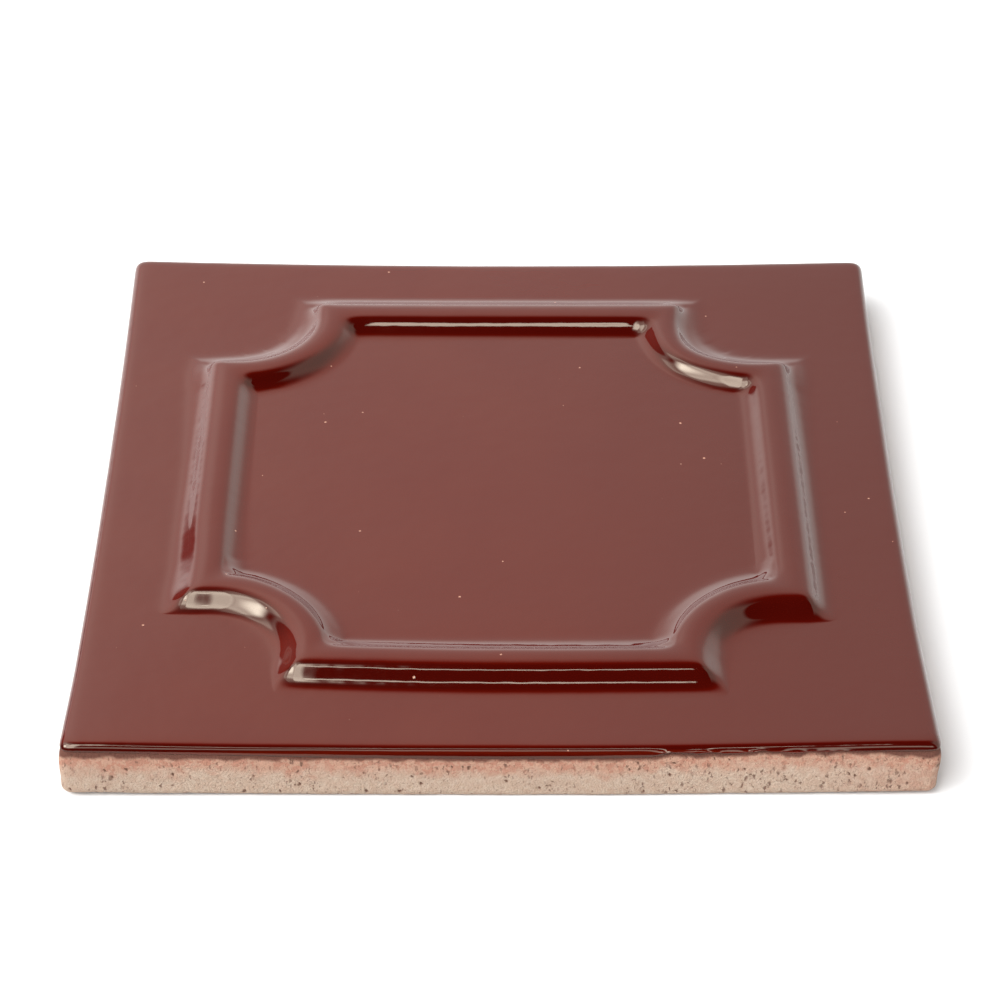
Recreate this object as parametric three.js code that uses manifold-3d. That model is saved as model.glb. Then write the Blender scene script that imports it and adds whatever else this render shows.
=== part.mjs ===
// A ceramic accent tile: one square, pressed and glazed wall tile with a raised frame
// moulding round a plain middle panel. The frame's four corners are scooped in.
// The tile lies on its back. Millimetres, +Z up, with the origin at the middle of the back.

import * as THREE from 'three';
import { LoftGeometry } from 'three/addons/geometries/LoftGeometry.js';
import { mergeVertices } from 'three/addons/utils/BufferGeometryUtils.js';
import Module from 'manifold-3d';

// Slab
const tileSide = 153.2; // corner to corner along one side, at its fullest
const tileThickness = 11; // back to the flat field round the moulding
const sideBow = 0.7; // how far firing has drawn in the middle of each side
const cornerRadius = 1.6; // upright corners, seen from above
const topDraw = 0.6; // how far the glazed edge leans in from the side's fullest line
const topArris = 1.2; // rounding where the glaze rolls over the top edge
const backArris = 1.4; // rounding where the side meets the back

// Moulding
const frameMargin = 17; // tile's corner-to-corner line to the moulding's outer foot
const mouldingWidth = 10.2; // outer foot to inner foot
const mouldingHeight = 3.1; // field to the shoulders
const panelRise = 0.6; // the panel inside the moulding above the field round it
const crownRise = 0.2; // the crown's middle above the shoulders
const flankRun = 3.05; // width of the outer sloping flank, seen from above
const footBlend = 1.5; // where glaze has filled the hollow at each foot
const shoulderBlend = 1.1; // rounding at the top of each flank

// Scooped corners of the frame
const scoopDepth = 20; // how far each corner is set back from the frame's sides
const scoopRadius = 13.5; // hollow of the scoop at the moulding's outer foot
const cornerEase = 1.8; // rounding of the frame's outward corners at the outer foot

// Smoothness of the faceted rounds, in steps
const arrisSteps = 4;
const cornerSteps = 4;
const sideSteps = 10;
const scoopSteps = 12;
const blendSteps = 4;

const wasm = await Module();
wasm.setup();

const quarterTurn = Math.PI / 2;
const origin = new THREE.Vector2();

// Points on an arc that turns anticlockwise through a right angle, from +X to +Y.
function cornerArc(centreX, centreY, radius) {
  const points = [];
  for (let step = 0; step <= cornerSteps; step++) {
    const angle = (quarterTurn * step) / cornerSteps;
    points.push(
      new THREE.Vector2(
        centreX + radius * Math.cos(angle),
        centreY + radius * Math.sin(angle),
      ),
    );
  }
  return points;
}

// The whole outline from the stretch that belongs to one corner, turned to all four.
function fourCorners(corner) {
  return [0, 1, 2, 3].flatMap((turn) =>
    corner.map((point) => point.clone().rotateAround(origin, turn * quarterTurn)),
  );
}

// The tile's edge, seen from above: a square with rounded corners and slightly hollow sides.
function edgeOutline(inset) {
  const half = tileSide / 2 - inset;
  const radius = Math.max(cornerRadius - inset, 0);
  const straight = half - radius;
  const corner = cornerArc(straight, straight, radius);
  for (let step = 1; step < sideSteps; step++) {
    corner.push(new THREE.Vector2(straight * (1 - (2 * step) / sideSteps), half));
  }
  const bow = (along) => 1 - (sideBow / half) * (1 - (along / half) ** 2);
  return fourCorners(corner).map(({ x, y }) => new THREE.Vector2(x * bow(y), y * bow(x)));
}

// The moulding's line at a given distance in from its outer foot: a square whose corners
// are cut back by a straight wall, a hollow quarter round and another straight wall.
const frameHalf = tileSide / 2 - frameMargin;
const scoopCentre = frameHalf - scoopDepth + scoopRadius;

function frameOutline(inset) {
  const half = frameHalf - inset;
  const radius = scoopRadius + inset;
  const begin = Math.asin(Math.max(scoopCentre - half, 0) / radius);
  const wall = scoopCentre - radius * Math.cos(begin);
  const wallLength = Math.max(half - scoopCentre, 0);
  const ease = Math.max(Math.min(cornerEase - inset, wallLength / 2), 0);
  const scoop = [];
  for (let step = 0; step <= scoopSteps; step++) {
    const angle = begin + ((quarterTurn - 2 * begin) * step) / scoopSteps;
    scoop.push(
      new THREE.Vector2(
        scoopCentre - radius * Math.sin(angle),
        scoopCentre - radius * Math.cos(angle),
      ),
    );
  }
  return fourCorners([
    ...cornerArc(half - ease, wall - ease, ease),
    ...scoop,
    ...cornerArc(wall - ease, half - ease, ease),
  ]);
}

// The slab's section, from the back's edge up to the field's edge, as [inset, height].
function edgeSection() {
  const section = new THREE.Path();
  section.moveTo(backArris, 0);
  section.quadraticCurveTo(0, 0, 0, backArris);
  section.quadraticCurveTo(0, tileThickness / 2, topDraw, tileThickness - topArris);
  section.quadraticCurveTo(topDraw, tileThickness, topDraw + topArris, tileThickness);
  return section.getPoints(arrisSteps);
}

// The moulding's section, from outer foot to inner foot and round under the field, where
// it is one with the slab, as [inset, height]. Both flanks have the same slope.
function mouldingSection() {
  const outerFoot = new THREE.Vector2(0, tileThickness);
  const outerShoulder = new THREE.Vector2(flankRun, tileThickness + mouldingHeight);
  const innerRun = (flankRun * (mouldingHeight - panelRise)) / mouldingHeight;
  const innerShoulder = new THREE.Vector2(mouldingWidth - innerRun, outerShoulder.y);
  const innerFoot = new THREE.Vector2(mouldingWidth, tileThickness + panelRise);
  const uphill = outerShoulder.clone().sub(outerFoot).normalize();
  const downhill = innerFoot.clone().sub(innerShoulder).normalize();
  const crownHeight = outerShoulder.y + 2 * crownRise;
  const slabMiddle = tileThickness / 2;
  const near = (point, direction, distance) => [
    point.x + direction.x * distance,
    point.y + direction.y * distance,
  ];

  const section = new THREE.Path();
  section.moveTo(outerFoot.x - footBlend, outerFoot.y);
  section.quadraticCurveTo(outerFoot.x, outerFoot.y, ...near(outerFoot, uphill, footBlend));
  section.lineTo(...near(outerShoulder, uphill, -shoulderBlend));
  section.quadraticCurveTo(
    outerShoulder.x,
    outerShoulder.y,
    outerShoulder.x + shoulderBlend,
    outerShoulder.y,
  );
  section.quadraticCurveTo(
    mouldingWidth / 2,
    crownHeight,
    innerShoulder.x - shoulderBlend,
    innerShoulder.y,
  );
  section.quadraticCurveTo(
    innerShoulder.x,
    innerShoulder.y,
    ...near(innerShoulder, downhill, shoulderBlend),
  );
  section.lineTo(...near(innerFoot, downhill, -footBlend));
  section.quadraticCurveTo(innerFoot.x, innerFoot.y, innerFoot.x + footBlend, innerFoot.y);
  section.lineTo(innerFoot.x + footBlend, slabMiddle);
  section.lineTo(outerFoot.x - footBlend, slabMiddle);
  section.closePath();
  return section.getPoints(blendSteps);
}

// A loft carries one outline through every point of a section.
function loft(outline, section, capped) {
  const rows = section.map(({ x: inset, y: height }) =>
    outline(inset).map((point) => new THREE.Vector3(point.x, point.y, height)),
  );
  return new LoftGeometry(rows, { capStart: capped, capEnd: capped });
}

// A closed solid from a geometry, with its shared points merged and its collapsed faces left out.
function solid(geometry) {
  const skin = new THREE.BufferGeometry();
  skin.setAttribute('position', geometry.getAttribute('position'));
  skin.setIndex(geometry.getIndex());
  const merged = mergeVertices(skin);
  const index = merged.index.array;
  const faces = [];
  for (let i = 0; i < index.length; i += 3) {
    const [a, b, c] = index.subarray(i, i + 3);
    if (a !== b && b !== c && c !== a) faces.push(a, b, c);
  }
  return new wasm.Manifold(
    new wasm.Mesh({
      numProp: 3,
      vertProperties: merged.attributes.position.array,
      triVerts: new Uint32Array(faces),
    }),
  );
}

function geometryOf(body) {
  const { vertProperties, triVerts } = body.getMesh();
  const geometry = new THREE.BufferGeometry();
  geometry.setAttribute('position', new THREE.BufferAttribute(vertProperties, 3));
  geometry.setIndex(new THREE.BufferAttribute(triVerts, 1));
  geometry.computeVertexNormals();
  return geometry;
}

// The panel fills the moulding, with its rim under the glaze in the moulding's inner foot.
function panelPlate() {
  const rim = frameOutline(mouldingWidth + footBlend / 2).map(({ x, y }) => [x, y]);
  const height = tileThickness / 2 + panelRise;
  return new wasm.CrossSection([rim]).extrude(height).translate([0, 0, tileThickness / 2]);
}

// The slab, the moulding and the panel are pressed from one lump of clay: one solid.
const slab = solid(loft(edgeOutline, edgeSection(), true));
const moulding = solid(loft(frameOutline, mouldingSection(), false));
const body = wasm.Manifold.union([slab, moulding, panelPlate()]);

const glaze = new THREE.MeshStandardMaterial({
  name: 'oxblood_glaze',
  color: 0x6d2b22,
  roughness: 0.08,
  metalness: 0,
});

const tile = new THREE.Mesh(geometryOf(body), glaze);
tile.name = 'accent_tile';

const part = new THREE.Group();
part.name = 'ceramic_accent_tile';
part.add(tile);

export default part;
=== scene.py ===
# %% [markdown]
# # A ceramic accent tile
# One square wall tile, pressed from buff clay and dipped face down in an oxblood glaze. A raised
# frame moulding with scooped corners runs round a plain panel. The tile lies on its back on a
# pale studio floor, and the camera looks down on it from the front. We model it in two skins: the
# glass-like coat of glaze, and the bare clay body that shows under it along the sides.

import math

import bpy
import numpy as np
from mathutils import Matrix, Vector, noise


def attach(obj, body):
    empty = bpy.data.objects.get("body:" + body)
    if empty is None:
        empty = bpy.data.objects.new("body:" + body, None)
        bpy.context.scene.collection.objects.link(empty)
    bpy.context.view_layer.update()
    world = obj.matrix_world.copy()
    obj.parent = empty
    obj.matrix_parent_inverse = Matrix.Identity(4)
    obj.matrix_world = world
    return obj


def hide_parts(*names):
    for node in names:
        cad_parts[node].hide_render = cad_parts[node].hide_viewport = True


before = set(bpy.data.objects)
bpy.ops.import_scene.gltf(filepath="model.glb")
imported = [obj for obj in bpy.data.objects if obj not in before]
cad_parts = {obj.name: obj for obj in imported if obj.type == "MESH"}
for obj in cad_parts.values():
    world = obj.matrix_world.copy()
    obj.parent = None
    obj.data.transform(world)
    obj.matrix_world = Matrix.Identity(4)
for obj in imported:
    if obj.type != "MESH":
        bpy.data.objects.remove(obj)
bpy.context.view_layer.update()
MM = 0.001

# %% [markdown]
# ## The camera
# A real camera is a place, a direction and a lens. This one stands half a metre in front of the
# tile and nearly as high, with a long lens, so that the square's sides converge only a little.
# The direction is built from three turns: a tilt down, a hair of yaw and a hair of roll.

# %% Place the camera
camera_place = Vector((-1.4, -504.0, 392.9)) * MM
camera_tilt = math.radians(37.43)  # below the horizon
camera_yaw = math.radians(-0.18)
camera_roll = math.radians(0.195)
camera_lens = 119.0  # millimetres, on a 36 mm sensor

camera_data = bpy.data.cameras.new("camera")
camera_data.lens = camera_lens
camera_data.sensor_width = 36.0
camera_data.clip_start = 0.01
camera = bpy.data.objects.new("camera", camera_data)
camera.matrix_world = (
    Matrix.Translation(camera_place)
    @ Matrix.Rotation(camera_yaw, 4, "Z")
    @ Matrix.Rotation(math.pi / 2 - camera_tilt, 4, "X")
    @ Matrix.Rotation(camera_roll, 4, "Z")
)
bpy.context.scene.collection.objects.link(camera)
bpy.context.scene.camera = camera
bpy.context.scene.view_settings.view_transform = "Standard"
print("Camera looks along", (camera.matrix_world.to_3x3() @ Vector((0, 0, -1)))[:])

# %% [markdown]
# ## The sizes
# All sizes are in millimetres, and are turned into metres only where a mesh is made. They are the
# tile's own: a slab, a moulding on it, and how deep its corners are scooped.

# %% Name the sizes
top_half = 75.55  # middle of the tile to its glazed edge
slab_height = 11.0
moulding_half = 59.15  # middle of the tile to the moulding's outer foot
moulding_width = 10.8
moulding_height = 3.1
flank_run = 2.95
panel_rise = 0.6  # the panel stands this much above the border
scoop_depth = 20.0
scoop_radius = 13.5
scoop_centre = moulding_half - scoop_depth + scoop_radius
notch = moulding_half - scoop_depth
side_steps = 18
corner_reach = 3.8  # a corner's first point stands this far from it, to keep the corner crisp
arc_steps = 18
print("Scoop centre at", scoop_centre, "mm from the middle on both axes")

# %% [markdown]
# ## Drawing a line by extruding and spinning
# Every outline here is straight runs and quarter rounds, so it can be drawn as with a pen:
# start from one point, extrude it for a straight run, and spin it about a centre for a round one.
# A plane merged to its middle is a handy way to get that first point.

# %% Drawing helpers
def start_line(name, x, y, z):
    """A new object holding one point, which is selected in edit mode."""
    bpy.ops.object.select_all(action="DESELECT")
    bpy.ops.mesh.primitive_plane_add(size=MM, location=(0, 0, 0))
    line = bpy.context.object
    line.name = line.data.name = name
    bpy.ops.object.mode_set(mode="EDIT")
    bpy.ops.mesh.select_all(action="SELECT")
    bpy.ops.mesh.merge(type="CENTER")
    bpy.ops.transform.translate(value=(x * MM, y * MM, z * MM))
    return line


def turned(x, y, quarters):
    """A point or a direction turned anticlockwise by quarter turns about the tile's middle."""
    for _ in range(quarters):
        x, y = -y, x
    return x, y


def draw_straight(x, y, steps):
    """Extrudes the last point by (x, y) in equal steps."""
    for _ in range(steps):
        move = (x / steps * MM, y / steps * MM, 0)
        bpy.ops.mesh.extrude_region_move(TRANSFORM_OT_translate={"value": move})


def draw_round(x, y, z, angle, steps):
    """Spins the last point about the upright axis through (x, y)."""
    centre = (x * MM, y * MM, z * MM)
    bpy.ops.mesh.spin(steps=steps, angle=angle, center=centre, axis=(0, 0, 1))


def close_line():
    """Welds the last point to the first, and leaves edit mode."""
    bpy.ops.mesh.select_all(action="SELECT")
    bpy.ops.mesh.remove_doubles(threshold=0.01 * MM)
    bpy.ops.object.mode_set(mode="OBJECT")


# %% [markdown]
# ## The three outlines
# The moulding's outer foot has a straight wall on each side of its scoop. Its inner foot lies
# further out from the scoop's centre, so its round is larger and meets the sides with no wall.
# All three outlines get the same number of points, so that they can be bridged point to point.

# %% Draw the outlines
def draw_frame_line(name, inset, z):
    half = moulding_half - inset
    radius = scoop_radius + inset
    begin = math.asin(max(scoop_centre - half, 0) / radius)
    wall = max(half - scoop_centre, 0)
    walls = [corner_reach, wall - corner_reach] if wall else []
    rounds = arc_steps + 4 - 2 * len(walls)
    corner = scoop_centre - radius * math.cos(begin)
    line = start_line(name, half, -corner, z)
    for quarter in range(4):
        draw_straight(*turned(0, 2 * corner, quarter), side_steps)
        for length in walls:
            draw_straight(*turned(-length, 0, quarter), 1)
        centre = turned(scoop_centre, scoop_centre, quarter)
        draw_round(*centre, z, math.pi / 2 - 2 * begin, rounds)
        for length in reversed(walls):
            draw_straight(*turned(0, length, quarter), 1)
    close_line()
    print(name, "has", len(line.data.vertices), "points")
    return line


def draw_edge_line(name, half, z):
    corner_steps = 2 + arc_steps // 2
    line = start_line(name, half, -notch, z)
    for quarter in range(4):
        draw_straight(*turned(0, 2 * notch, quarter), side_steps)
        draw_straight(*turned(0, half - notch, quarter), corner_steps)
        draw_straight(*turned(-(half - notch), 0, quarter), corner_steps)
    close_line()
    print(name, "has", len(line.data.vertices), "points")
    return line


# %% [markdown]
# ## Bands between the outlines
# Bridging two outlines fills the band between them with quads. The border gets extra rings, so
# that it can bend with the warp later, and the moulding gets one, along its middle.

# %% Bridge the outlines
def join_all(name, *pieces):
    """One object from several, with every mesh in it kept."""
    bpy.ops.object.select_all(action="DESELECT")
    for piece in pieces:
        piece.select_set(True)
    bpy.context.view_layer.objects.active = pieces[0]
    bpy.ops.object.join()
    pieces[0].name = pieces[0].data.name = name
    return pieces[0]


def bridge(name, first, second, cuts):
    """A band of faces between two outlines, with cuts extra rings between them."""
    band = join_all(name, first, second)
    bpy.ops.object.mode_set(mode="EDIT")
    bpy.ops.mesh.select_all(action="SELECT")
    bpy.ops.mesh.bridge_edge_loops(number_cuts=cuts, interpolation="LINEAR")
    bpy.ops.object.mode_set(mode="OBJECT")
    print(name, "has", len(band.data.polygons), "faces")
    return band


border = bridge(
    "border",
    draw_edge_line("edge_line", top_half, slab_height),
    draw_frame_line("foot_line", 0, slab_height),
    cuts=4,
)
moulding = bridge(
    "moulding",
    draw_frame_line("outer_foot", 0, slab_height),
    draw_frame_line("inner_foot", moulding_width, slab_height),
    cuts=1,
)

# %% [markdown]
# ## The moulding rises
# One inset raises both flanks at once: it moves the ring's outer line in and its inner line out
# by the same run, while it lifts what is between them. The line along the middle, which the
# bridge left there, is then lifted a little more, because the glaze crowns the moulding's top.

# %% Inset the ring upwards
def edit_all(piece):
    """Enters edit mode on one object with everything selected."""
    bpy.ops.object.select_all(action="DESELECT")
    bpy.context.view_layer.objects.active = piece
    piece.select_set(True)
    bpy.ops.object.mode_set(mode="EDIT")
    bpy.ops.mesh.select_all(action="SELECT")


def pick(piece, kind, test):
    """Enters edit mode on one object with only the vertices, edges or faces that pass a test."""
    edit_all(piece)
    bpy.ops.mesh.select_all(action="DESELECT")
    bpy.ops.mesh.select_mode(type=kind)
    bpy.ops.object.mode_set(mode="OBJECT")
    mesh = piece.data
    items = {"VERT": mesh.vertices, "EDGE": mesh.edges, "FACE": mesh.polygons}[kind]
    count = 0
    for item in items:
        item.select = test(item)
        count += item.select
    bpy.ops.object.mode_set(mode="EDIT")
    return count


def object_mode():
    bpy.ops.mesh.select_mode(type="VERT")
    bpy.ops.object.mode_set(mode="OBJECT")


crown_height = slab_height + moulding_height
crown_rise = 0.25
edit_all(moulding)
bpy.ops.mesh.normals_make_consistent(inside=False)
bpy.ops.mesh.inset(
    thickness=flank_run * MM, depth=moulding_height * MM, use_boundary=True, use_even_offset=True
)
object_mode()


def frame_inset(x, y):
    """How far in from the moulding's outer foot a point lies, in millimetres."""
    x, y = abs(x), abs(y)
    to_side = moulding_half - max(x, y)
    from_scoop = math.hypot(x - scoop_centre, y - scoop_centre) - scoop_radius
    across = min(x, y)
    if max(x, y) > scoop_centre:
        from_scoop = notch - across
    return min(to_side, from_scoop)


def in_middle(vertex):
    inset = frame_inset(vertex.co.x / MM, vertex.co.y / MM)
    return abs(inset - moulding_width / 2) < 1 and vertex.co.z > (crown_height - 0.1) * MM


print("crown points", pick(moulding, "VERT", in_middle))
bpy.ops.transform.translate(value=(0, 0, crown_rise * MM))
object_mode()

# %% [markdown]
# ## The panel and one skin
# The panel inside the moulding is one closed line, which a grid fill covers with even squares.
# The three bands are then joined, and the points that lie on each other are welded.

# %% Fill the panel and weld the three bands
panel = draw_frame_line("panel", moulding_width, slab_height)
points_round = len(panel.data.vertices)
edit_all(panel)
bpy.ops.mesh.fill_grid(span=points_round // 4)
object_mode()

weld = 0.01 * MM
coat = join_all("glaze_coat", border, moulding, panel)
edit_all(coat)
bpy.ops.mesh.remove_doubles(threshold=weld)
bpy.ops.mesh.normals_make_consistent(inside=False)
object_mode()
print("coat", len(coat.data.vertices), "points,", len(coat.data.polygons), "faces")

# %% [markdown]
# ## The panel stands higher
# The dark line at the foot of the moulding is shorter inside the frame than outside it, so the
# panel lies higher than the border. It is lifted, and widened so that its edge stays on the slope.

# %% Lift the panel
def in_panel(vertex):
    return frame_inset(vertex.co.x / MM, vertex.co.y / MM) > moulding_width - 0.1


print("panel points", pick(coat, "VERT", in_panel))
bpy.ops.transform.translate(value=(0, 0, panel_rise * MM))
wider = 1 + panel_rise / (moulding_half - moulding_width)
bpy.ops.transform.resize(value=(wider, wider, 1), center_override=(0, 0, slab_height * MM))
object_mode()

# %% [markdown]
# ## Rounded feet and shoulders
# Glaze is a thick glass that runs: it fills the hollow at each foot and softens each shoulder.
# A bevel on each of those lines gives its round a size, before subdivision smooths it.

# %% Bevel the feet and the shoulders
def line_at(piece, height, *insets):
    """A test for edges at one height, and at one of some distances in from the outer foot."""
    points = piece.data.vertices

    def test(edge):
        for index in edge.vertices:
            place = points[index].co / MM
            inset = frame_inset(place.x, place.y)
            if abs(place.z - height) > 0.05:
                return False
            if min(abs(inset - each) for each in insets) > 0.4:
                return False
        return True

    return test


foot_round = 1.35
shoulder_round = 0.95
count = pick(coat, "EDGE", line_at(coat, crown_height, flank_run, moulding_width - flank_run))
bpy.ops.mesh.bevel(offset=shoulder_round * MM, segments=2, affect="EDGES", profile=0.5)
object_mode()
print("shoulder edges", count)
panel_height = slab_height + panel_rise
for height, inset in ((slab_height, 0), (panel_height, moulding_width - panel_rise)):
    count = pick(coat, "EDGE", line_at(coat, height, inset))
    bpy.ops.mesh.bevel(offset=foot_round * MM, segments=2, affect="EDGES", profile=0.5)
    object_mode()
    print("foot edges", count)

# %% [markdown]
# ## The glaze rolls over the edge
# The tile was dipped, so its glaze turns down over the top edge and stops in a rounded lip. The
# skin's outer line is extruded down for that wall, which leans out with the clay, then in under
# the lip and back up inside the clay, where a last face closes it into a solid.

# %% Extrude the rolled edge
edge_round = 0.95
lip_height = 9.4
lip_half = 76.2
lip_depth = 0.4  # how far the lip's underside runs in towards the clay
lip_sag = 0.05  # and how far it drops on the way
hem_rise = 0.8  # the hem stands inside the clay
hem_depth = 0.6


def extrude_loop(rise, half, next_half):
    """Extrudes the selected loop up by rise, and scales it to a new half width."""
    bpy.ops.mesh.extrude_region_move(TRANSFORM_OT_translate={"value": (0, 0, rise * MM)})
    scale = next_half / half
    bpy.ops.transform.resize(value=(scale, scale, 1), center_override=(0, 0, 0))


edit_all(coat)
bpy.ops.mesh.region_to_loop()
extrude_loop(lip_height - slab_height, top_half, lip_half)
extrude_loop(-lip_sag, lip_half, lip_half - lip_depth)
extrude_loop(hem_rise, lip_half - lip_depth, lip_half - lip_depth - hem_depth)
bpy.ops.mesh.edge_face_add()
object_mode()


def on_top_edge(edge):
    for index in edge.vertices:
        place = coat.data.vertices[index].co / MM
        if max(abs(place.x), abs(place.y)) < top_half - 0.01 or place.z < slab_height - 0.01:
            return False
    return True


count = pick(coat, "EDGE", on_top_edge)
bpy.ops.mesh.bevel(offset=edge_round * MM, segments=2, affect="EDGES", profile=0.5)
bpy.ops.mesh.select_all(action="SELECT")
bpy.ops.mesh.normals_make_consistent(inside=False)
object_mode()
print("top edges", count, "of", points_round)

# %% [markdown]
# ## Smooth skin
# Subdivision surface turns the cage of quads into one flowing skin, which is what a reflection
# needs: any break in the surface shows as a kink in a highlight. Smoothing a few regions further
# rounds the foot's sharp corners, and lets the glaze fill the feet that face away from the front.

# %% Subdivide the skin
smooth = coat.modifiers.new("smooth", "SUBSURF")
smooth.levels = smooth.render_levels = 2
bpy.ops.object.modifier_apply(modifier=smooth.name)


def foot_tip(vertex):
    x, y = abs(vertex.co.x) / MM, abs(vertex.co.y) / MM
    return math.hypot(max(x, y) - moulding_half, min(x, y) - notch) < 3.2


def hidden_foot(vertex):
    x, y = vertex.co.x / MM, vertex.co.y / MM
    inset = frame_inset(x, y)
    behind = y > 30 and -3.5 < inset < 2.0
    before = y < -25 and moulding_width - 2.4 < inset < moulding_width + 3.5
    return behind or before


def far_foot(vertex):
    x, y = vertex.co.x / MM, vertex.co.y / MM
    return y > 30 and abs(frame_inset(x, y) - moulding_width) < 2.2


for region, repeats in ((foot_tip, 6), (hidden_foot, 50), (far_foot, 6)):
    print(region.__name__, "holds", pick(coat, "VERT", region), "points")
    bpy.ops.mesh.vertices_smooth(factor=0.5, repeat=repeats)
    object_mode()

# %% [markdown]
# ## More points along the lip
# The lip's line wanders on a finer scale than the rest of the skin. So every edge that runs along
# the wall above it is cut twice more.

# %% Cut the lip's rows
def along_lip(edge):
    first, second = (coat.data.vertices[index].co / MM for index in edge.vertices)
    low = max(first.z, second.z) < slab_height - 0.9 * edge_round
    outer = min(max(abs(p.x), abs(p.y)) for p in (first, second)) > lip_half - 0.6
    return low and outer and abs(first.z - second.z) < 0.02


count = pick(coat, "EDGE", along_lip)
bpy.ops.mesh.subdivide(number_cuts=2, ngon=True)
object_mode()
print("lip edges", count, "and now", len(coat.data.polygons), "faces in the coat")

# %% [markdown]
# ## The clay body
# The body starts as a flat grid, which is the back. Its outer edge is cut into short steps,
# because pores are sunk into the sides later, and is then extruded upwards row by row along the
# side's section: a worn lower edge, a full middle, and a lean in towards the glaze.

# %% Extrude the body
body_half = 76.6
body_top = 10.4
body_rows = 36
foot_rise = 1.3
foot_inset = 1.0
corner_round = 1.6
cell_count = 40
full_height = 4.0  # the side stands furthest out here
lean_in = 1.3
top_round = 1.0  # a hidden rounding under the glaze


def side_line(part):
    """Half width and height of the side, with part running from 0 at the back to 1."""
    height = body_top * part
    low = max(foot_rise - height, 0) / foot_rise
    lean = max(height - full_height, 0) / (slab_height - full_height)
    high = max(height - body_top + top_round, 0)
    inset = foot_inset * (1 - math.sqrt(1 - low * low)) + lean_in * lean * lean
    inset += top_round - math.sqrt(top_round**2 - high * high)
    return body_half - inset, height


bpy.ops.object.select_all(action="DESELECT")
back_half, start_height = side_line(0)
bpy.ops.mesh.primitive_grid_add(
    x_subdivisions=cell_count, y_subdivisions=cell_count, size=2 * back_half * MM
)
body = bpy.context.object
body.name = body.data.name = "bisque_body"
tip = back_half * MM * 0.999
count = pick(body, "VERT", lambda v: min(abs(v.co.x), abs(v.co.y)) > tip)
bpy.ops.mesh.bevel(offset=corner_round * MM, segments=8, affect="VERTICES", profile=0.5)
object_mode()
print("corners rounded", count)


def long_rim_edge(edge):
    first, second = (body.data.vertices[index].co / MM for index in edge.vertices)
    rim = min(max(abs(p.x), abs(p.y)) for p in (first, second)) > back_half - 0.01
    return rim and (first - second).length > 1


count = pick(body, "EDGE", long_rim_edge)
bpy.ops.mesh.subdivide(number_cuts=11, ngon=True)
bpy.ops.mesh.select_all(action="SELECT")
bpy.ops.mesh.region_to_loop()
half, height = back_half, start_height
for row in range(1, body_rows + 1):
    next_half, next_height = side_line(row / body_rows)
    extrude_loop(next_height - height, half, next_half)
    half, height = next_half, next_height
extrude_loop(-1.4, half, half - 3)
bpy.ops.mesh.edge_face_add()
bpy.ops.mesh.select_all(action="SELECT")
bpy.ops.mesh.normals_make_consistent(inside=False)
object_mode()
print("body", len(body.data.vertices), "points,", len(body.data.polygons), "faces")

# %% [markdown]
# ## The kiln's warp
# A handmade tile is never true. Firing has lifted this one's corners and drawn in its sides.
# Proportional editing would do this by hand. Here each pull is a smooth push with its own centre
# and reach, so that the coat and the body can take exactly the same ones.

# %% Smooth pushes
corner_lift = 0.8
front_sag = 0.55  # the front edge's middle hangs this much lower
bow_left, bow_right, bow_back, bow_front = 0.6, 0.9, 0.54, 0.4
far_edge_out, far_edge_up = 1.05, 0.15
right_out = 0.75  # of the right side's upper part
left_corner_out = 0.4
front_right_in = 0.6


def ease(value, low, high):
    part = np.clip((value - low) / (high - low), 0, 1)
    return part * part * (3 - 2 * part)


def read_points(piece):
    """The mesh's points in millimetres."""
    flat = np.empty(len(piece.data.vertices) * 3)
    piece.data.vertices.foreach_get("co", flat)
    return flat.reshape(-1, 3) / MM


def write_points(piece, points):
    piece.data.vertices.foreach_set("co", (points * MM).ravel())
    piece.data.update()


def sag_at(x, y, z):
    """How much lower a point near the front edge hangs."""
    middle = np.clip(1 - (x / 68) ** 2, 0, 1)
    return front_sag * (middle * ease(-y, 40, 76) * ease(z, 0, slab_height))


def pull_sides(points):
    """Moves points near the tile's sides, in the coat and in the body alike."""
    x, y, z = points.T.copy()
    across_x = 1 - np.clip(y / body_half, -1, 1) ** 2
    across_y = 1 - np.clip(x / body_half, -1, 1) ** 2
    points[:, 0] += (bow_left * ease(-x, 60, 76) - bow_right * ease(x, 60, 76)) * across_x
    points[:, 1] += (bow_front * ease(-y, 60, 76) - bow_back * ease(y, 60, 76)) * across_y
    points[:, 2] += corner_lift * (x / body_half) ** 2 * (y / body_half) ** 2
    points[:, 2] -= sag_at(x, y, z)
    points[:, 1] += far_edge_out * ease(y, 60, 76)
    points[:, 2] += far_edge_up * ease(y, 45, 76)
    upper = ease(z, 3, 9)
    along = 1 - 0.55 * ease(y, -75, -35) - 0.45 * ease(y, 20, 70)
    points[:, 0] += right_out * ease(x, 60, 76) * along * upper
    points[:, 0] -= left_corner_out * ease(-x, 60, 76) * ease(-y, 50, 76) * upper
    points[:, 1] += front_right_in * ease(x, 10, 76) * ease(-y, 55, 76)


print("The front edge hangs", sag_at(0, -76, slab_height).round(3), "mm at its middle")

# %% [markdown]
# ## The moulding out of line
# The moulding was pressed by hand, so its runs are up to two millimetres out of line. These
# pushes are the glaze's only, because the clay under it never shows. Two low fillets come first:
# glaze that ran down the moulding lies thicker along the feet that face away from the front.

# %% Warp both pieces
fillet_behind, fillet_before = 0.3, 0.26
fillet_reach = 1.5
foot_tips = ((moulding_half, notch), (notch, moulding_half))
tip_out = 0.3
right_wall_out, left_wall_out, left_run_out = 0.6, 0.4, 0.8
bump_reach = 9
bumps = (  # axis, distance and place of what is out of line in one place only
    (0, 0.5, (-59, -27)),
    (0, -2.2, (41, 41)),
    (1, -0.6, (48, 42)),
    (1, -1.5, (52, -41)),
)


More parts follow.
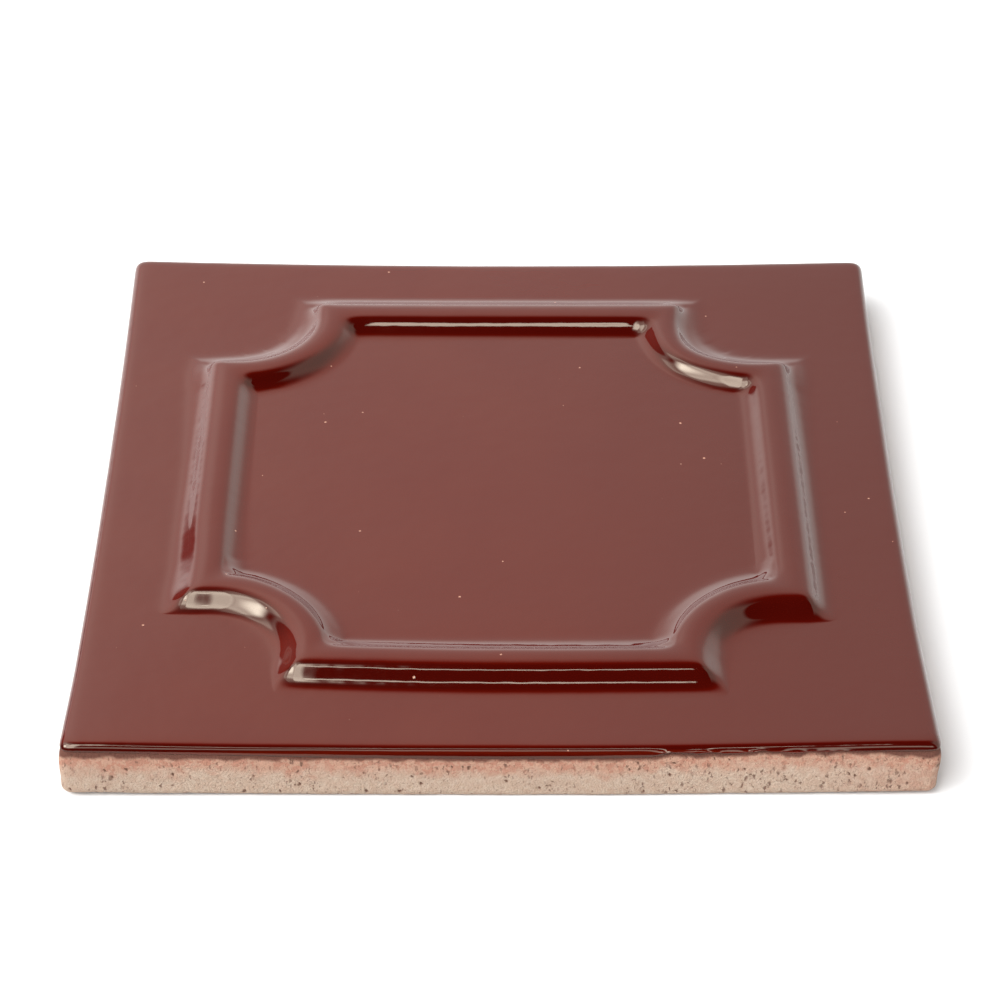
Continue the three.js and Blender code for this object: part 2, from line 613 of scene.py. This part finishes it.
def near(x, y, place, reach):
    """A smooth hill of height 1 at a place, which fades out over its reach."""
    return np.exp(-((x - place[0]) ** 2 + (y - place[1]) ** 2) / reach**2)


def insets_at(x, y):
    """How far in from the moulding's outer foot many points lie, in millimetres."""
    far, close = np.maximum(abs(x), abs(y)), np.minimum(abs(x), abs(y))
    from_scoop = np.hypot(far - scoop_centre, close - scoop_centre) - scoop_radius
    from_scoop = np.where(far > scoop_centre, notch - close, from_scoop)
    return np.minimum(moulding_half - far, from_scoop)


def add_fillets(points):
    x, y, z = points.T.copy()
    from_outer = insets_at(x, y) + 0.4
    from_inner = insets_at(x, y) - moulding_width + 0.2
    behind = fillet_behind * np.exp(-((from_outer / fillet_reach) ** 2)) * ease(y, 5, 40)
    before = fillet_before * np.exp(-((from_inner / fillet_reach) ** 2)) * ease(-y, 5, 40)
    points[:, 2] += behind + before


def pull_moulding(points):
    """Moves the moulding's runs left and right, then back and front, then its odd places."""
    x, y, z = points.T.copy()
    inside = 1 - ease(np.maximum(abs(x), abs(y)), moulding_half, moulding_half + 9)
    points[:, 0] += inside * (-0.4 + 0.35 * ease(x, -58, -47.5) + 0.25 * ease(x, 50, 58))
    front = 0.15 - 0.95 * ease(x, -48, 0) + 0.15 * ease(x, 5, 45)
    slack = 0.055 - 0.03 * ease(x, -22, -12)
    back = 0.35 + slack * np.clip((y - 48) / 2.7, 0, 1) + 0.45 * ease(y, 51, 58)
    points[:, 1] += inside * (front + (back - front) * ease(y, -40, 40))
    for corner_x, corner_y in foot_tips:
        tip = near(x, abs(y), (-corner_x - 0.5, corner_y + 0.5), 3.5)
        points[:, 0] -= tip_out * tip * np.sign(x)
        points[:, 1] -= tip_out * tip * np.sign(y)
    right_wall = ease(x, 35.5, 40) * (1 - ease(x, 43, 50))
    points[:, 0] += right_wall_out * right_wall * ease(-y, 46, 52)
    left_wall = ease(-x, 36, 40) * (1 - ease(-x, 43, 50))
    points[:, 0] -= left_wall_out * left_wall * ease(-y, 50, 56)
    left_run = ease(-x, 55.5, 60) * (1 - ease(-x, 63, 69))
    points[:, 0] -= left_run_out * left_run * near(0, y, (0, -37), 20)
    for axis, distance, place in bumps:
        points[:, axis] += distance * near(x, y, place, bump_reach)


for piece in (coat, body):
    points = read_points(piece)
    if piece is coat:
        add_fillets(points)
        pull_moulding(points)
    pull_sides(points)
    write_points(piece, points)
    print(piece.name, "spans", points.min(0).round(2), points.max(0).round(2))

# %% [markdown]
# ## Hollows and slopes
# Molten glaze gathers in every hollow and freezes there in small waves, so we measure how the
# surface bends: how far each point stands out from the middle of its neighbours, for the size of
# the step between them, blurred along the mesh. How steeply each point faces the front is kept as
# an attribute, which the material reads to paint shade on those slopes.

# %% Measure how the skin bends
def neighbour_mean(values, ends, count):
    """For each point, the mean of a value over the points that share an edge with it."""
    total = np.zeros((count,) + values.shape[1:])
    np.add.at(total, ends[:, 0], values[ends[:, 1]])
    np.add.at(total, ends[:, 1], values[ends[:, 0]])
    shared = np.bincount(ends.ravel(), minlength=count)
    return total / shared.reshape((-1,) + (1,) * (values.ndim - 1))


def edge_ends(piece):
    ends = np.empty(len(piece.data.edges) * 2, int)
    piece.data.edges.foreach_get("vertices", ends)
    return ends.reshape(-1, 2)


def point_normals(piece):
    flat = np.empty(len(piece.data.vertices) * 3)
    piece.data.vertex_normals.foreach_get("vector", flat)
    return flat.reshape(-1, 3)


def keep_attribute(piece, name, values):
    layer = piece.data.attributes.new(name, "FLOAT", "POINT")
    layer.data.foreach_set("value", values)


def bend_of(piece, blurs):
    points, ends = read_points(piece), edge_ends(piece)
    step = np.linalg.norm(points[ends[:, 0]] - points[ends[:, 1]], axis=1) ** 2
    around = np.zeros(len(points))
    np.add.at(around, ends.ravel(), np.repeat(step, 2))
    around /= np.bincount(ends.ravel(), minlength=len(points))
    away = points - neighbour_mean(points, ends, len(points))
    bend = (away * point_normals(piece)).sum(axis=1) / np.maximum(around, 0.01)
    for _ in range(blurs):
        bend = 0.5 * bend + 0.5 * neighbour_mean(bend, ends, len(points))
    return bend


bend = bend_of(coat, blurs=4)
# How steeply each point faces the front; the glaze material paints shade on these slopes with it.
slope = np.maximum(-point_normals(coat)[:, 1], 0)
for _ in range(2):
    slope = 0.5 * slope + 0.5 * neighbour_mean(slope, edge_ends(coat), len(slope))
keep_attribute(coat, "front_slope", slope)
print("bend from", bend.min().round(3), "to", bend.max().round(3))

# %% [markdown]
# ## The glaze's own unevenness
# The glaze froze as it ran, so it is a little wavy: long and shallow on the flats, shorter where
# it gathers at the moulding's feet, and finest low on the front flank, where it breaks up the
# mirrored line of the strip light.

# %% Ruffle the glaze
def noise_at(points, size, seed):
    """Soft noise from -1 to 1 at each point, with bumps of a size in millimetres."""
    shift = Vector((seed * 31.7, seed * 17.3, seed * 5.9))
    return np.array([noise.noise(Vector(point) / size + shift) for point in points])


points = read_points(coat)
normals = point_normals(coat)
hollow = ease(-bend, 0.02, 0.15)
waves = 0.035 * noise_at(points, 14, 1) + 0.03 * hollow * noise_at(points, 2.6, 2)
x, y, z = points.T
front_foot = ease(-y, 56.4, 57.2) * (1 - ease(-y, 59.6, 61)) * (abs(x) < 40)
waves += 0.012 * front_foot * noise_at(points, 0.8, 9)
points += normals * waves[:, None]
print("waves up to", abs(waves).max().round(3), "mm")

# %% [markdown]
# ## A wandering lip
# The glaze's lower edge wanders, hangs a little in the middle of the front side, and further
# right it pulled back from the clay in a ragged line. The lip attribute runs from 0 at the top
# edge to 1 at the lip, and carries each point of the wall up or down with it.

# %% Ruffle the lip
def lip_rise(points):
    """How far the lip's edge stands above its even height, at each point."""
    along = points * (1, 1, 0)
    x, y = along[:, 0], along[:, 1]
    front = y < -70
    ragged = ease(x, 24, 30) * (1 - ease(x, 64, 70)) * front
    wander = 0.1 * noise_at(along, 11, 3) + 0.06 * noise_at(along, 2.4, 4)
    retreat = 0.6 + 1.2 * noise_at(along, 3.6, 5) + 0.3 * noise_at(along, 1.3, 6)
    hang = 0.45 * np.clip(1 - (x / 66) ** 2, 0, 1) * front
    return wander - hang + ragged * np.clip(retreat, 0, 1.6)


x, y, z = points.T
outer = np.maximum(abs(x), abs(y)) > top_half - 1.2
lip_part = ease(slab_height - z, 0.5, 1.9) * outer
keep_attribute(coat, "lip", lip_part)
points[:, 2] += lip_part * lip_rise(points)
write_points(coat, points)
print("the lip's lowest point is", points[lip_part > 0.5, 2].min().round(2), "mm up")

# %% [markdown]
# ## Pores in the clay
# Grog and trapped air leave pits in pressed clay, and they open where the sides were wiped. Each
# pit is a small hollow sunk into the mesh. Voronoi noise gives the nearest of many scattered
# seeds, and a number drawn at each seed decides if it is a pit, and how large it is. The sides
# are also a little rough, but no point goes below the floor. How far each point lies under the
# glaze's lip is kept for the clay's colours. One of Blender's noises, noise_vector, starts from
# the clock unless it is given a seed, so it gets one here, and every run has the same pits.

# %% Sink the pits
pit_depth = 0.3
seed_spacing = 1.2
warp_seed = 5
noise.seed_set(warp_seed)


def pit_field(points):
    """For each point how deep it lies in a pit, from 0 to 1."""
    depth = np.zeros(len(points))
    for index, point in enumerate(points):
        place = Vector((point[0], point[1], point[2] * 0.7)) / seed_spacing
        place += 0.2 * noise.noise_vector(place * 3)
        distances, seeds = noise.voronoi(place)
        chance = noise.cell(seeds[0] * 7.31)
        radius = 0.1 + 0.24 * abs(noise.cell(seeds[0] * 3.17 + Vector((4, 5, 6))))
        if chance > 0.3 and distances[0] < radius:
            depth[index] = 1 - (distances[0] / radius) ** 2
    return depth


points = read_points(body)
normals = point_normals(body)
x, y, z = points.T
keep_attribute(body, "under_lip", lip_height - sag_at(x, y, z) + lip_rise(points) - z)
side = ease(np.maximum(abs(x), abs(y)), body_half - 2.2, body_half - 1.6)
pits = pit_field(points) * side * ease(z, 0.1, 0.5)
rough = 0.035 * noise_at(points, 0.9, 7) + 0.07 * noise_at(points, 6, 8)
points += normals * ((rough - pit_depth * pits) * side)[:, None]
points[:, 2] = np.maximum(points[:, 2], 0)
write_points(body, points)
# The pit depth also drives the clay material's painted shade in the pits.
keep_attribute(body, "pit", pits)
print("points in pits", int((pits > 0).sum()), "of", len(points))

for piece in (coat, body):
    bpy.ops.object.select_all(action="DESELECT")
    bpy.context.view_layer.objects.active = piece
    piece.select_set(True)
    bpy.ops.object.shade_smooth()

# %% [markdown]
# ## Building blocks for the materials
# Both finishes are made of a few effects: cloudy mottling, scattered specks, and fine ripples.
# The mottling and the specks are node groups with named sockets, made once and placed in each
# material with its own values, and the ripples are plain noise. All of them read Object
# coordinates, so that a pattern stays with the tile.

# %% Node helpers
def link(tree, source, target):
    """Joins a socket to a socket, or sets the target when the source is a plain value."""
    if isinstance(source, bpy.types.NodeSocket):
        tree.links.new(source, target)
    else:
        target.default_value = source


def calculate(tree, operation, first, second=0.0, clamp=False):
    item = tree.nodes.new("ShaderNodeMath")
    item.operation = operation
    item.use_clamp = clamp
    link(tree, first, item.inputs[0])
    link(tree, second, item.inputs[1])
    return item.outputs[0]


def spread(tree, value, low, high):
    """A value eased from 0 at low to 1 at high."""
    item = tree.nodes.new("ShaderNodeMapRange")
    item.interpolation_type = "SMOOTHSTEP"
    link(tree, value, item.inputs["Value"])
    link(tree, low, item.inputs["From Min"])
    link(tree, high, item.inputs["From Max"])
    return item.outputs["Result"]


def blend_colour(tree, mask, first, second):
    item = tree.nodes.new("ShaderNodeMix")
    item.data_type = "RGBA"
    link(tree, mask, item.inputs[0])
    link(tree, first, item.inputs[6])
    link(tree, second, item.inputs[7])
    return item.outputs[2]


def noise_node(tree, vector, scale, detail):
    item = tree.nodes.new("ShaderNodeTexNoise")
    link(tree, vector, item.inputs["Vector"])
    link(tree, scale, item.inputs["Scale"])
    link(tree, detail, item.inputs["Detail"])
    return item.outputs["Fac"]


def new_group(name, inputs, outputs):
    """An empty node group with named float sockets, and a vector input for the place."""
    group = bpy.data.node_groups.new(name, "ShaderNodeTree")
    group.interface.new_socket("Place", in_out="INPUT", socket_type="NodeSocketVector")
    for socket in inputs:
        group.interface.new_socket(socket, in_out="INPUT", socket_type="NodeSocketFloat")
    for socket in outputs:
        group.interface.new_socket(socket, in_out="OUTPUT", socket_type="NodeSocketFloat")
    return group, group.nodes.new("NodeGroupInput"), group.nodes.new("NodeGroupOutput")


def use_group(tree, group, place, **values):
    item = tree.nodes.new("ShaderNodeGroup")
    item.node_tree = group
    link(tree, place, item.inputs["Place"])
    for name, value in values.items():
        link(tree, value, item.inputs[name])
    return item


# %% [markdown]
# ## Clouds and specks
# Clouds are noise at two scales, with a contrast. Specks use the nearest seed of a Voronoi
# texture: its distance gives a round dot, and its random colour picks which seeds have one.

# %% Make the groups
def make_clouds():
    group, given, result = new_group("clouds", ["Scale", "Contrast"], ["Mask"])
    coarse = noise_node(group, given.outputs["Place"], given.outputs["Scale"], 3.0)
    centred = calculate(group, "SUBTRACT", coarse, 0.5)
    strong = calculate(group, "MULTIPLY", centred, given.outputs["Contrast"])
    link(group, calculate(group, "ADD", strong, 0.5, clamp=True), result.inputs["Mask"])
    return group


def make_specks():
    group, given, result = new_group("specks", ["Scale", "Share", "Radius"], ["Mask"])
    seeds = group.nodes.new("ShaderNodeTexVoronoi")
    link(group, given.outputs["Place"], seeds.inputs["Vector"])
    link(group, given.outputs["Scale"], seeds.inputs["Scale"])
    draw = group.nodes.new("ShaderNodeSeparateColor")
    link(group, seeds.outputs["Color"], draw.inputs["Color"])
    chosen = calculate(group, "LESS_THAN", draw.outputs["Red"], given.outputs["Share"])
    size = calculate(group, "MULTIPLY", given.outputs["Radius"], draw.outputs["Green"])
    inner = calculate(group, "MULTIPLY", size, 0.4)
    dot = spread(group, seeds.outputs["Distance"], size, inner)
    link(group, calculate(group, "MULTIPLY", chosen, dot), result.inputs["Mask"])
    return group


clouds = make_clouds()
specks = make_specks()
print("groups:", clouds.name, specks.name)

# %% [markdown]
# ## Oxblood glaze
# Copper and iron make a red glass that is nearly opaque. On the slopes that face the front it is
# darker, which is painted shade read from the front_slope attribute. It is a shade redder on the
# wall above the lip, where it thins out, and a little darker towards the tile's right, which is
# painted shade, away from the light on the left. Faint clouds and a few pale specks lie over that.
# Its shine is a glass's: the shader's own Fresnel does it, with a low roughness, a refraction
# index a little above window glass and a warm tint.

# %% The glaze material
def new_material(name):
    material = bpy.data.materials.new(name)
    material.use_nodes = True
    tree = material.node_tree
    shader = tree.nodes["Principled BSDF"]
    place = tree.nodes.new("ShaderNodeTexCoord").outputs["Object"]
    return material, tree, shader, place


def attribute(tree, name):
    item = tree.nodes.new("ShaderNodeAttribute")
    item.attribute_name = name
    return item.outputs["Fac"]


def bump(tree, height, strength, distance):
    item = tree.nodes.new("ShaderNodeBump")
    item.inputs["Strength"].default_value = strength
    item.inputs["Distance"].default_value = distance
    link(tree, height, item.inputs["Height"])
    return item.outputs["Normal"]


glaze_even = (0.083, 0.002, 0.0003, 1)
glaze_cloud = (0.089, 0.004, 0.001, 1)
# painted shade: the glaze's colour on the slopes that face the front
glaze_front_shade = (0.042, 0.001, 0.0002, 1)
glaze_thin = (0.07, 0.003, 0.0005, 1)
# painted shade: the glaze's colour towards the tile's right, away from the light on the left
glaze_right_shade = (0.066, 0.0014, 0.0002, 1)
speck_colour = (0.45, 0.22, 0.15, 1)

glaze, tree, shader, place = new_material("oxblood_glaze")
lip = attribute(tree, "lip")
thin = calculate(tree, "MULTIPLY", spread(tree, lip, 0.1, 0.4), spread(tree, lip, 0.9, 0.6))
# Painted shade on the slopes that face the front.
front_shade_mask = spread(tree, attribute(tree, "front_slope"), 0.12, 0.45)
drift = use_group(tree, clouds, place, Scale=60.0, Contrast=2.2).outputs["Mask"]
axes = tree.nodes.new("ShaderNodeSeparateXYZ")
link(tree, place, axes.inputs[0])
# Painted shade, darker towards the tile's right, away from the light on the left.
right_shade_mask = spread(tree, axes.outputs["X"], -0.02, 0.08)
dots = use_group(tree, specks, place, Scale=260.0, Share=0.3, Radius=0.085).outputs["Mask"]
colour = blend_colour(tree, drift, glaze_even, glaze_cloud)
colour = blend_colour(tree, right_shade_mask, colour, glaze_right_shade)
colour = blend_colour(tree, front_shade_mask, colour, glaze_front_shade)
colour = blend_colour(tree, thin, colour, glaze_thin)
colour = blend_colour(tree, dots, colour, speck_colour)
link(tree, colour, shader.inputs["Base Color"])
ripple = noise_node(tree, place, 260.0, 1.0)
pitted = calculate(tree, "SUBTRACT", ripple, calculate(tree, "MULTIPLY", dots, 3.0))
link(tree, bump(tree, pitted, 0.08, 0.0004), shader.inputs["Normal"])
shader.inputs["Roughness"].default_value = 0.05
shader.inputs["IOR"].default_value = 1.56
shader.inputs["Specular Tint"].default_value = (1, 0.9, 0.73, 1)
coat.data.materials.append(glaze)

# %% [markdown]
# ## Buff clay
# The clay fired to a warm cream. Near the glaze it is pinker, because the glaze's copper and the
# kiln's smoke stained it, and just under the lip a dark band is painted shade from the lip.
# So the colours go by the distance under the lip, which the under_lip attribute holds, with
# borders that noise breaks up. The first masks are clouds of six sizes.

# %% The clay's colours and clouds
clay_cream = (0.46, 0.355, 0.277, 1)
clay_pink = (0.42, 0.238, 0.168, 1)
clay_buff = (0.39, 0.26, 0.19, 1)
clay_red = (0.33, 0.12, 0.08, 1)
# dark marks, and the painted shade in the pits
dark_marks_and_pit_shade = (0.13, 0.06, 0.04, 1)
# painted shade under the glaze's lip
clay_lip_shade = (0.12, 0.045, 0.03, 1)
grain_dark = (0.34, 0.22, 0.15, 1)

bisque, tree, shader, place = new_material("buff_bisque")
below = attribute(tree, "under_lip")
uneven = use_group(tree, clouds, place, Scale=350.0, Contrast=2.5).outputs["Mask"]
broad = use_group(tree, clouds, place, Scale=60.0, Contrast=3.0).outputs["Mask"]
grains = use_group(tree, clouds, place, Scale=2600.0, Contrast=4.0).outputs["Mask"]
blots = use_group(tree, clouds, place, Scale=900.0, Contrast=16.0).outputs["Mask"]
mottle = use_group(tree, clouds, place, Scale=750.0, Contrast=5.0).outputs["Mask"]
patches = use_group(tree, clouds, place, Scale=160.0, Contrast=4.0).outputs["Mask"]
print("clay clouds:", len(tree.nodes), "nodes so far")

# %% [markdown]
# ## Marks in the clay
# Small dark marks are where grog or soot shows. Round specks would look printed on, so their
# place is stretched upwards and twisted by noise first, which gives each one its own shape, and
# the patches gather them in some places more than in others.

# %% Scatter the marks
mark_stretch = (1, 1, 0.5)
twist_scale = 1500.0
twist_share = 0.0009
wobble = tree.nodes.new("ShaderNodeMix")
wobble.data_type = "VECTOR"
wobble.inputs[0].default_value = twist_share
stretched = tree.nodes.new("ShaderNodeVectorMath")
stretched.operation = "MULTIPLY"
stretched.inputs[1].default_value = mark_stretch
link(tree, place, stretched.inputs[0])
twist = tree.nodes.new("ShaderNodeTexNoise")
twist.inputs["Scale"].default_value = twist_scale
link(tree, place, twist.inputs["Vector"])
link(tree, stretched.outputs[0], wobble.inputs[4])
link(tree, twist.outputs["Color"], wobble.inputs[5])
bent_place = wobble.outputs[1]
marks = use_group(tree, specks, bent_place, Scale=1500.0, Share=0.5, Radius=0.62).outputs["Mask"]
fine_marks = use_group(tree, specks, bent_place, Scale=3000.0, Share=0.5, Radius=0.6)
fine_marks = fine_marks.outputs["Mask"]
marked = calculate(tree, "MAXIMUM", marks, calculate(tree, "MULTIPLY", fine_marks, 0.6))
marked = calculate(tree, "MULTIPLY", marked, spread(tree, patches, -0.2, 0.9))
print("marks:", len(tree.nodes), "nodes so far")

# %% [markdown]
# ## From cream to pink
# The colours are laid over each other from the bottom up: cream with buff clouds, pink near the
# lip and at the side's right end, red blots in the pink, grains, marks, painted shade in the pits,
# and last the painted shade under the lip.

# %% The clay material
depth_in = calculate(tree, "ADD", below, calculate(tree, "MULTIPLY", uneven, -2.2))
depth_in = calculate(tree, "ADD", depth_in, calculate(tree, "MULTIPLY", broad, -1.2))
axes = tree.nodes.new("ShaderNodeSeparateXYZ")
link(tree, place, axes.inputs[0])
pink_part = spread(tree, depth_in, 3.4, -0.4)
pink_end = calculate(tree, "MULTIPLY", spread(tree, axes.outputs["X"], 0.05, 0.078), 0.5)
pink_part = calculate(tree, "MAXIMUM", pink_part, pink_end)
colour = blend_colour(tree, calculate(tree, "MULTIPLY", mottle, 0.45), clay_cream, clay_buff)
colour = blend_colour(tree, pink_part, colour, clay_pink)
reddened = calculate(tree, "MULTIPLY", spread(tree, blots, 0.5, 0.9), pink_part)
colour = blend_colour(tree, calculate(tree, "MULTIPLY", reddened, 0.55), colour, clay_red)
colour = blend_colour(tree, calculate(tree, "MULTIPLY", grains, 0.3), colour, grain_dark)
colour = blend_colour(tree, calculate(tree, "MULTIPLY", marked, 0.85), colour, dark_marks_and_pit_shade)
# Painted shade in the pits.
pit_shade_mask = spread(tree, attribute(tree, "pit"), 0.05, 0.6)
colour = blend_colour(tree, pit_shade_mask, colour, dark_marks_and_pit_shade)
# Painted shade just under the lip, where the lip shades the clay.
edge_in = calculate(tree, "ADD", below, calculate(tree, "MULTIPLY", uneven, -0.6))
lip_shade_part = spread(tree, edge_in, 0.7, -0.1)
colour = blend_colour(tree, lip_shade_part, colour, clay_lip_shade)
link(tree, colour, shader.inputs["Base Color"])
lumps = calculate(tree, "SUBTRACT", grains, calculate(tree, "MULTIPLY", marked, 2.0))
link(tree, bump(tree, lumps, 0.6, 0.0002), shader.inputs["Normal"])
shader.inputs["Roughness"].default_value = 0.85
shader.inputs["Specular IOR Level"].default_value = 0.3
body.data.materials.append(bisque)
print("materials:", glaze.name, bisque.name)

# %% [markdown]
# ## Floor
# The tile lies on plain white paper, which the light makes nearly as bright as white can be.

# %% Lay the floor
bpy.ops.object.select_all(action="DESELECT")
bpy.ops.mesh.primitive_plane_add(size=6, location=(0, 0, 0))
floor = bpy.context.object
floor.name = "floor"
paper, tree, shader, place = new_material("white_paper")
shader.inputs["Base Color"].default_value = (0.8, 0.8, 0.8, 1)
shader.inputs["Roughness"].default_value = 0.9
floor.data.materials.append(paper)
print("floor", tuple(round(side, 1) for side in floor.dimensions[:2]), "metres")

# %% [markdown]
# ## The studio
# A glossy tile shows its surroundings more than itself, so the studio is painted on the world,
# by direction as seen from the tile. Azimuth 0 is the camera's side, and positive is to the
# right. Elevation 0 is level and 90 is overhead.

# %% Directions in the studio
world = bpy.data.worlds.new("studio")
bpy.context.scene.world = world
world.use_nodes = True
tree = world.node_tree
axes = tree.nodes.new("ShaderNodeSeparateXYZ")
link(tree, tree.nodes.new("ShaderNodeTexCoord").outputs["Generated"], axes.inputs[0])
across, depth, rise = axes.outputs
towards_camera = calculate(tree, "MULTIPLY", depth, -1.0)
azimuth = calculate(tree, "DEGREES", calculate(tree, "ARCTAN2", across, towards_camera))
elevation = calculate(tree, "DEGREES", calculate(tree, "ARCSINE", rise))


def between(value, low, high, soft):
    """1 from low to high, with both ends softened, and 0 beyond."""
    above = spread(tree, value, low - soft, low + soft)
    below = spread(tree, value, high + soft, high - soft)
    return calculate(tree, "MULTIPLY", above, below)


def window(azimuths, elevations, soft, level):
    wide = between(azimuth, *azimuths, soft)
    tall = between(elevation, *elevations, soft)
    return calculate(tree, "MULTIPLY", calculate(tree, "MULTIPLY", wide, tall), level)


print("azimuth and elevation:", len(tree.nodes), "nodes so far")

# %% [markdown]
# ## Screens round the tile
# Pale screens stand behind the tile and at its sides, brighter on the left and low down. The
# tile's flats mirror them, which is what makes the red look pale. A dark gap between two of them
# shows in the flanks that face left. A weak ceiling light hangs overhead on the left.

# %% Paint the screens
screens = spread(tree, across, 0.2, -0.2)
screens = calculate(tree, "ADD", calculate(tree, "MULTIPLY", screens, 0.26), 0.93)
brighter = calculate(tree, "MULTIPLY", spread(tree, elevation, 30, 12), 0.5)
screens = calculate(tree, "MULTIPLY", screens, calculate(tree, "ADD", brighter, 1.0))
behind = calculate(tree, "MAXIMUM", between(azimuth, 66, 400, 4), between(azimuth, -400, -98, 6))
low = spread(tree, elevation, 74, 50)
screens = calculate(tree, "MULTIPLY", calculate(tree, "MULTIPLY", screens, behind), low)
gap = calculate(tree, "SUBTRACT", 1.0, window((-142.3, -80), (-90, 24), 1.8, 0.9))
screens = calculate(tree, "MULTIPLY", screens, gap)
overhead = calculate(tree, "MULTIPLY", spread(tree, elevation, 58, 68), 0.45)
overhead = calculate(tree, "MULTIPLY", overhead, spread(tree, across, 0.0, -0.35))
level = calculate(tree, "ADD", screens, overhead)
print("screens and ceiling:", len(tree.nodes), "nodes so far")

# %% [markdown]
# ## Lamps
# A big soft lamp on the left makes the white streaks and the shadow on the right, with weaker
# glows beside and above it. A narrow strip over the camera draws the thin lines along the front
# of the moulding, and a low card under it draws the line along the rolled edge. The rest of that
# side is dark. The camera itself sees plain white.

# %% Hang the lamps
lamps = {
    "lamp": ((-84, -52), (29, 44), 7, 11.0),
    "lamp_top": ((-84, -42), (33, 62), 6, 7.0),
    "side_glow": ((-42, -12), (34, 70), 4, 8.0),
    "left_glow": ((-110, -84), (32, 60), 4, 2.0),
    "back_glow": ((-170, -100), (30, 62), 8, 0.4),
    "top_glow": ((-100, -14), (56, 76), 5, 1.6),
    "strip": ((-13, 7.5), (58.4, 61.9), 0.8, 8.5),
    "front": ((-40, 40), (28, 39), 4, 3.0),
}
for azimuths, elevations, soft, power in lamps.values():
    level = calculate(tree, "ADD", level, window(azimuths, elevations, soft, power))
level = calculate(tree, "ADD", level, 0.02)
seen = tree.nodes.new("ShaderNodeLightPath").outputs["Is Camera Ray"]
grey = tree.nodes.new("ShaderNodeCombineColor")
for channel in grey.inputs:
    link(tree, level, channel)
background = tree.nodes["Background"]
white = (1, 1, 1, 1)
link(tree, blend_colour(tree, seen, grey.outputs[0], white), background.inputs["Color"])
print("lamps:", ", ".join(lamps))

# %% [markdown]
# ## One body
# Both skins belong to the one fired piece, so both stand for the same node and ride on the same
# body. Each skin's triangle count is printed.

# %% Ride, replace and finish
for piece, slot in ((coat, "glaze"), (body, "bisque")):
    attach(piece, "root")
    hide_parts("accent_tile")
    print(piece.name, "triangles", sum(len(face.vertices) - 2 for face in piece.data.polygons))
